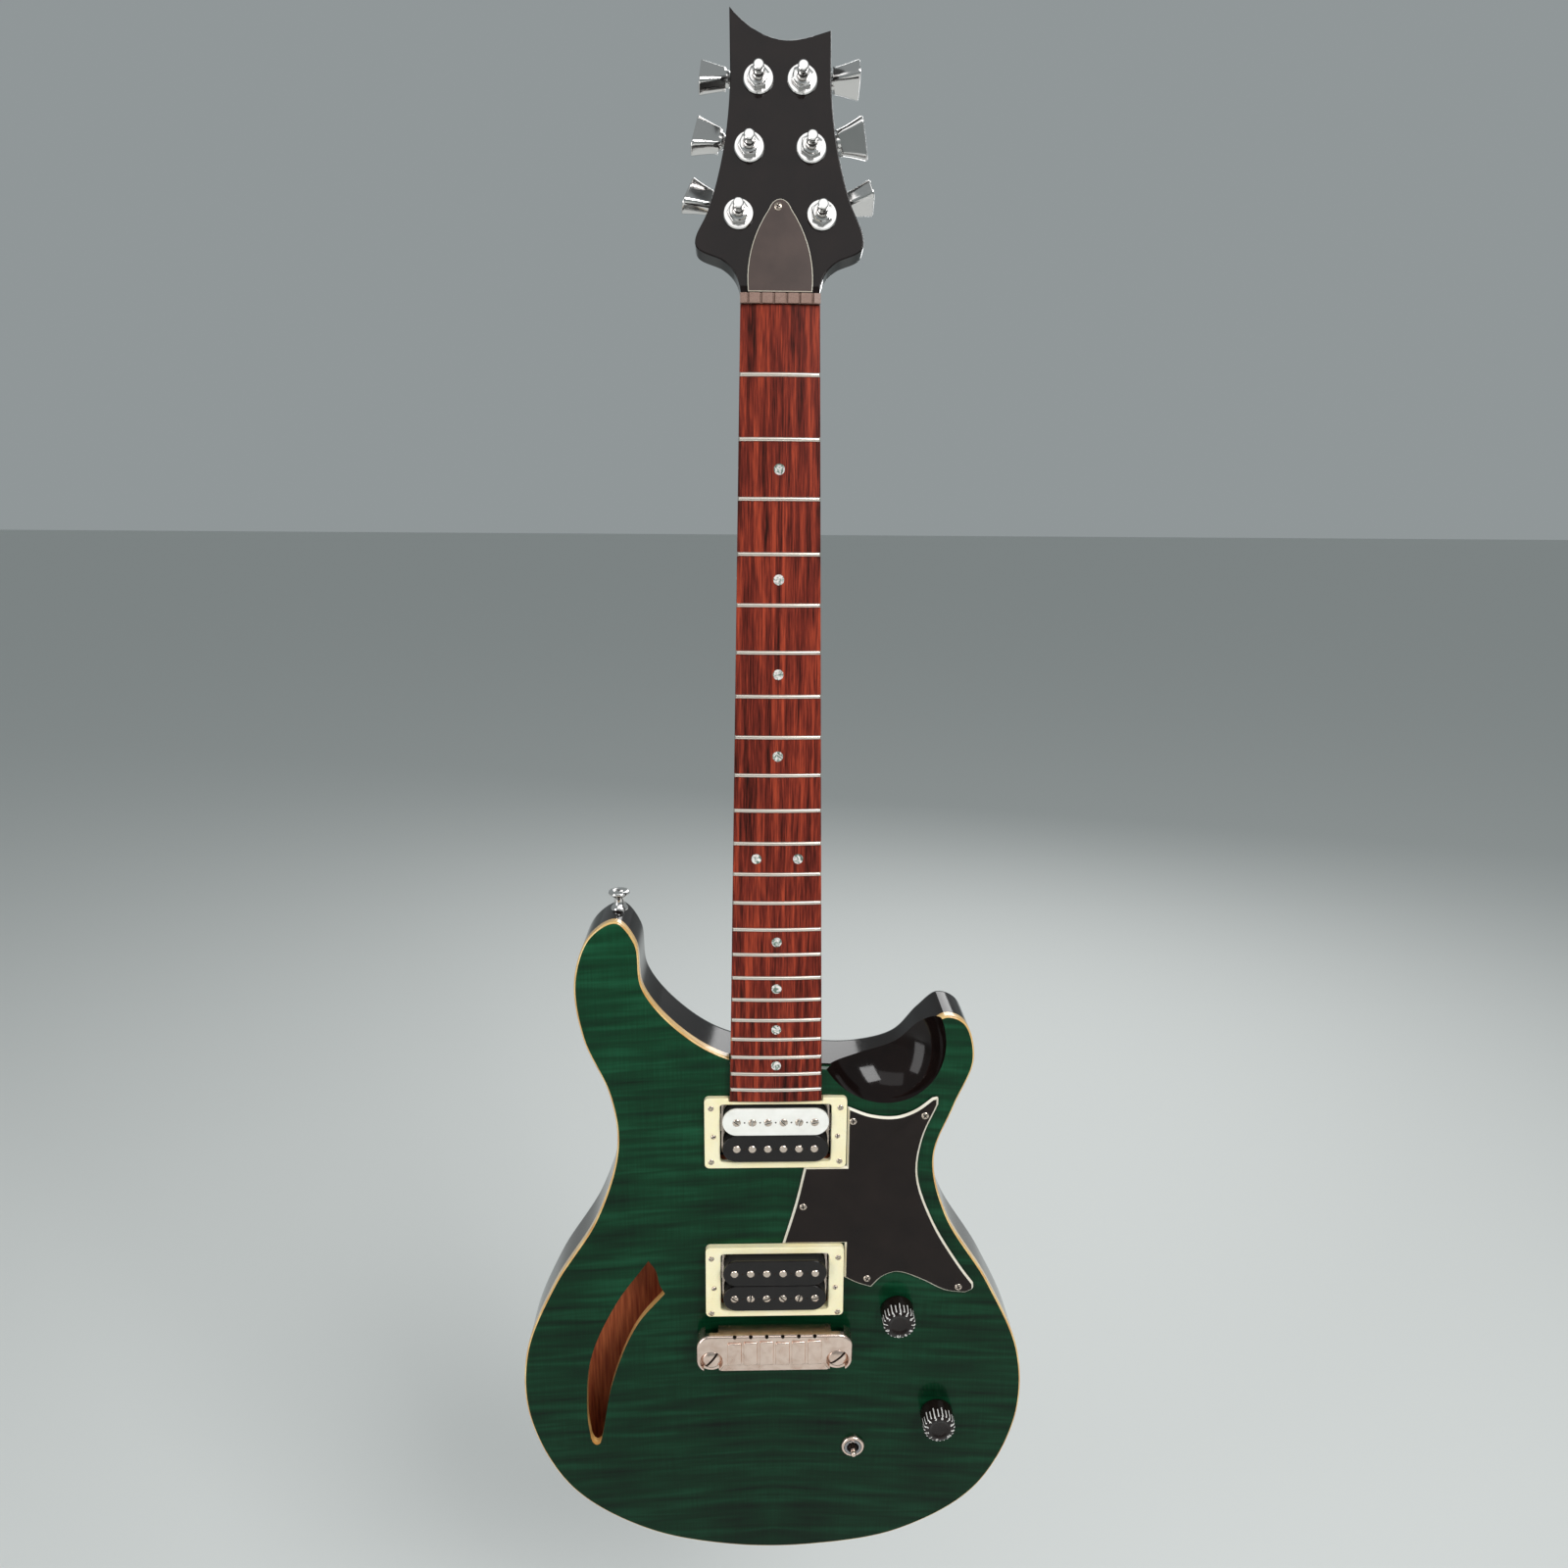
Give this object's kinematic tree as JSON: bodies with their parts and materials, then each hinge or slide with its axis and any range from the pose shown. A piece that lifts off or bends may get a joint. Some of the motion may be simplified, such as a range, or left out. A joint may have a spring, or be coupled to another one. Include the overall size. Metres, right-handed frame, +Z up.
{
  "type": "electric guitar",
  "caption": "Double-cutaway electric guitar with a green flamed maple top, crescent sound hole, humbucking pickups, one-piece bridge and turning tuners.",
  "frame": {"origin": "the hanger seat: middle of the headstock's thickness, level with the undersides of its two lower ears", "axes": "+Z up along the body's length towards the headstock, +X towards the treble side, the strings' side faces -Y"},
  "size_m": [0.3337, 0.083, 0.9777],
  "materials": {
    "green_maple": "transparent green stain over figured maple, high gloss",
    "plain_maple": "clear lacquer over pale maple",
    "black_lacquer": "high gloss black lacquer",
    "rosewood": "open grain, oiled",
    "cream_plastic": "moulded, gloss",
    "black_plastic": "gloss",
    "white_plastic": "moulded, gloss",
    "nut_composite": "satin",
    "nickel": "nickel plated",
    "chrome": "polished plating",
    "steel": "plain",
    "brass": "machined"
  },
  "bodies": {
    "body": {"neck": "black_lacquer", "truss_rod": "steel", "fingerboard": "rosewood", "string_nut": "nut_composite", "truss_rod_cover": "black_plastic", "body_top": "green_maple", "body_back": "black_lacquer", "top_binding": "plain_maple", "control_cover": "black_plastic", "pickguard": "black_plastic", "neck_pickup_ring": "cream_plastic", "bridge_pickup_ring": "cream_plastic", "stud_insert_bass": "steel", "stud_insert_treble": "steel", "volume_pot": "steel", "tone_pot": "steel", "toggle_switch": "steel", "toggle_nut": "nickel", "jack_plate": "chrome", "jack_socket": "chrome", "strap_button_horn": "chrome", "strap_button_end": "chrome", "tuner_housing_bass_1": "chrome", "tuner_bushing_bass_1": "chrome", "tuner_housing_bass_2": "chrome", "tuner_bushing_bass_2": "chrome", "tuner_housing_bass_3": "chrome", "tuner_bushing_bass_3": "chrome", "tuner_housing_treble_1": "chrome", "tuner_bushing_treble_1": "chrome", "tuner_housing_treble_2": "chrome", "tuner_bushing_treble_2": "chrome", "tuner_housing_treble_3": "chrome", "tuner_bushing_treble_3": "chrome"},
    "button_bass_1": {"tuner_button_bass_1": "chrome"},
    "post_bass_1": {"tuner_post_bass_1": "chrome"},
    "button_bass_2": {"tuner_button_bass_2": "chrome"},
    "post_bass_2": {"tuner_post_bass_2": "chrome"},
    "button_bass_3": {"tuner_button_bass_3": "chrome"},
    "post_bass_3": {"tuner_post_bass_3": "chrome"},
    "button_treble_1": {"tuner_button_treble_1": "chrome"},
    "post_treble_1": {"tuner_post_treble_1": "chrome"},
    "button_treble_2": {"tuner_button_treble_2": "chrome"},
    "post_treble_2": {"tuner_post_treble_2": "chrome"},
    "button_treble_3": {"tuner_button_treble_3": "chrome"},
    "post_treble_3": {"tuner_post_treble_3": "chrome"},
    "volume_control": {"volume_knob": "black_plastic", "volume_shaft": "brass"},
    "tone_control": {"tone_knob": "black_plastic", "tone_shaft": "brass"},
    "toggle": {"toggle_lever": "nickel"},
    "neck_pickup": {"neck_pickup_baseplate": "nickel", "neck_pickup_bobbin_upper": "white_plastic", "neck_pickup_bobbin_lower": "black_plastic"},
    "bridge_pickup": {"bridge_pickup_baseplate": "nickel", "bridge_pickup_bobbin_upper": "black_plastic", "bridge_pickup_bobbin_lower": "black_plastic"},
    "bridge": {"bridge": "nickel"},
    "stud_bass": {"bridge_stud_bass": "nickel"},
    "stud_treble": {"bridge_stud_treble": "nickel"}
  },
  "joints": [
    {"name": "button_turn_bass_1", "type": "hinge", "parent": "body", "child": "button_bass_1", "pos_m": [-0.01123, 0.0322, 0.0934], "axis": [-0.9986, 0.0104, 0.0513], "continuous": true},
    {"name": "post_turn_bass_1", "type": "hinge", "parent": "body", "child": "post_bass_1", "pos_m": [-0.0117, 0.01159, 0.08842], "axis": [0, 0.9799, -0.1994], "continuous": true},
    {"name": "button_turn_bass_2", "type": "hinge", "parent": "body", "child": "button_bass_2", "pos_m": [-0.01488, 0.02509, 0.05846], "axis": [-0.9816, 0.038, 0.187], "continuous": true},
    {"name": "post_turn_bass_2", "type": "hinge", "parent": "body", "child": "post_bass_2", "pos_m": [-0.0166, 0.00452, 0.05363], "axis": [0, 0.9799, -0.1994], "continuous": true},
    {"name": "button_turn_bass_3", "type": "hinge", "parent": "body", "child": "button_bass_3", "pos_m": [-0.01967, 0.01803, 0.02374], "axis": [-0.9563, 0.0583, 0.2865], "continuous": true},
    {"name": "post_turn_bass_3", "type": "hinge", "parent": "body", "child": "post_bass_3", "pos_m": [-0.0223, -0.0025, 0.01914], "axis": [0, 0.9799, -0.1994], "continuous": true},
    {"name": "button_turn_treble_1", "type": "hinge", "parent": "body", "child": "button_treble_1", "pos_m": [0.01123, 0.0322, 0.0934], "axis": [0.9986, 0.0104, 0.0513], "continuous": true},
    {"name": "post_turn_treble_1", "type": "hinge", "parent": "body", "child": "post_treble_1", "pos_m": [0.0117, 0.01159, 0.08842], "axis": [0, 0.9799, -0.1994], "continuous": true},
    {"name": "button_turn_treble_2", "type": "hinge", "parent": "body", "child": "button_treble_2", "pos_m": [0.01488, 0.02509, 0.05846], "axis": [0.9816, 0.038, 0.187], "continuous": true},
    {"name": "post_turn_treble_2", "type": "hinge", "parent": "body", "child": "post_treble_2", "pos_m": [0.0166, 0.00452, 0.05363], "axis": [0, 0.9799, -0.1994], "continuous": true},
    {"name": "button_turn_treble_3", "type": "hinge", "parent": "body", "child": "button_treble_3", "pos_m": [0.01967, 0.01803, 0.02374], "axis": [0.9563, 0.0583, 0.2865], "continuous": true},
    {"name": "post_turn_treble_3", "type": "hinge", "parent": "body", "child": "post_treble_3", "pos_m": [0.0223, -0.0025, 0.01914], "axis": [0, 0.9799, -0.1994], "continuous": true},
    {"name": "volume_turn", "type": "hinge", "parent": "body", "child": "volume_control", "pos_m": [0.081, -0.022, -0.6481], "axis": [0, 1, 0], "range_deg": [-150, 150]},
    {"name": "tone_turn", "type": "hinge", "parent": "body", "child": "tone_control", "pos_m": [0.1103, -0.022, -0.7296], "axis": [0, 1, 0], "range_deg": [-150, 150]},
    {"name": "toggle_tilt", "type": "hinge", "parent": "body", "child": "toggle", "pos_m": [0.054, -0.016, -0.7556], "axis": [1, 0, 0], "range_deg": [-12, 12]},
    {"name": "neck_pickup_height", "type": "slide", "parent": "body", "child": "neck_pickup", "axis": [0, -1, 0], "range_m": [-0.003, 0.003]},
    {"name": "bridge_pickup_height", "type": "slide", "parent": "body", "child": "bridge_pickup", "axis": [0, -1, 0], "range_m": [-0.003, 0.003]},
    {"name": "bridge_height", "type": "slide", "parent": "body", "child": "bridge", "axis": [0, -1, 0], "range_m": [-0.002, 0.004]},
    {"name": "stud_turn_bass", "type": "hinge", "parent": "bridge", "child": "stud_bass", "pos_m": [-0.0411, -0.022, -0.6736], "axis": [0, -1, 0], "range_deg": [-580, 1160]},
    {"name": "stud_turn_treble", "type": "hinge", "parent": "bridge", "child": "stud_treble", "pos_m": [0.0411, -0.022, -0.6736], "axis": [0, -1, 0], "range_deg": [-580, 1160]}
  ],
  "couplings": [
    {"joint": "post_turn_bass_1", "follows": "button_turn_bass_1", "ratio": 0.071429},
    {"joint": "post_turn_bass_2", "follows": "button_turn_bass_2", "ratio": 0.071429},
    {"joint": "post_turn_bass_3", "follows": "button_turn_bass_3", "ratio": 0.071429},
    {"joint": "post_turn_treble_1", "follows": "button_turn_treble_1", "ratio": 0.071429},
    {"joint": "post_turn_treble_2", "follows": "button_turn_treble_2", "ratio": 0.071429},
    {"joint": "post_turn_treble_3", "follows": "button_turn_treble_3", "ratio": 0.071429},
    {"joint": "stud_turn_bass", "follows": "bridge_height", "rad_per_m": 5026.5},
    {"joint": "stud_turn_treble", "follows": "bridge_height", "rad_per_m": 5026.5}
  ]
}
